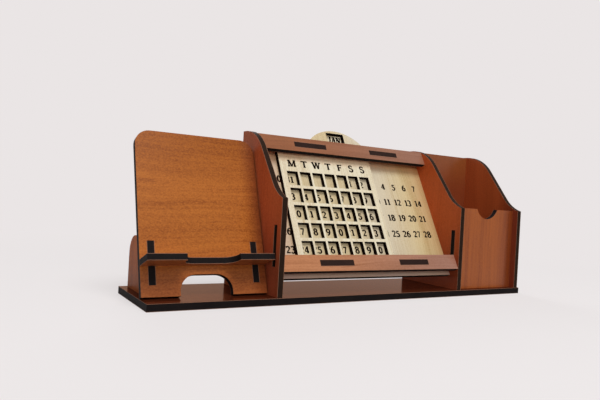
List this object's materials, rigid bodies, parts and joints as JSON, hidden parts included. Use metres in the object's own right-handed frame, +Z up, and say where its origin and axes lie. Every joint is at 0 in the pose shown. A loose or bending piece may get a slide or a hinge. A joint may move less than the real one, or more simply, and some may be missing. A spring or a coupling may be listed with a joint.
{
  "type": "desk organizer with perpetual calendar",
  "caption": "Wooden desk organizer: a leaning perpetual calendar with slider and month wheel over an open slot, between a phone rest with a ledge and a tall pen box.",
  "frame": {"origin": "centre of the base board's underside", "axes": "+X along the base from the phone rest to the pen box, +Z up, -Y is the front"},
  "size_m": [0.27, 0.0632, 0.107],
  "materials": {
    "brown_board": "glossy wood-grain laminate with burnt laser-cut edges",
    "light_ply": "pale satin wood-grain laminate with burnt edges and lettering",
    "steel": "zinc plated"
  },
  "bodies": {
    "frame": {"base_plate": "brown_board", "left_divider": "brown_board", "right_divider": "brown_board", "right_end_panel": "brown_board", "pen_box_front": "brown_board", "pen_box_back": "brown_board", "phone_back_plate": "brown_board", "phone_ledge": "brown_board", "phone_rib_left": "brown_board", "phone_rib_right": "brown_board", "calendar_panel": "light_ply", "lower_rail": "brown_board", "lower_channel_strip": "brown_board", "upper_rail": "brown_board", "upper_channel_strip": "brown_board", "pivot_screw": "steel", "front_washer": "steel", "rear_washer": "steel", "lock_nut": "steel"},
    "slider": {"calendar_slider": "light_ply"},
    "wheel": {"month_wheel": "light_ply"}
  },
  "joints": [
    {"name": "slider_slide", "type": "slide", "parent": "frame", "child": "slider", "axis": [1, 0, 0], "range_m": [-0.0097, 0.0461]},
    {"name": "month_wheel_spin", "type": "hinge", "parent": "frame", "child": "wheel", "pos_m": [0.00595, 0.02033, 0.07861], "axis": [0, -0.8829, 0.4695], "continuous": true}
  ]
}
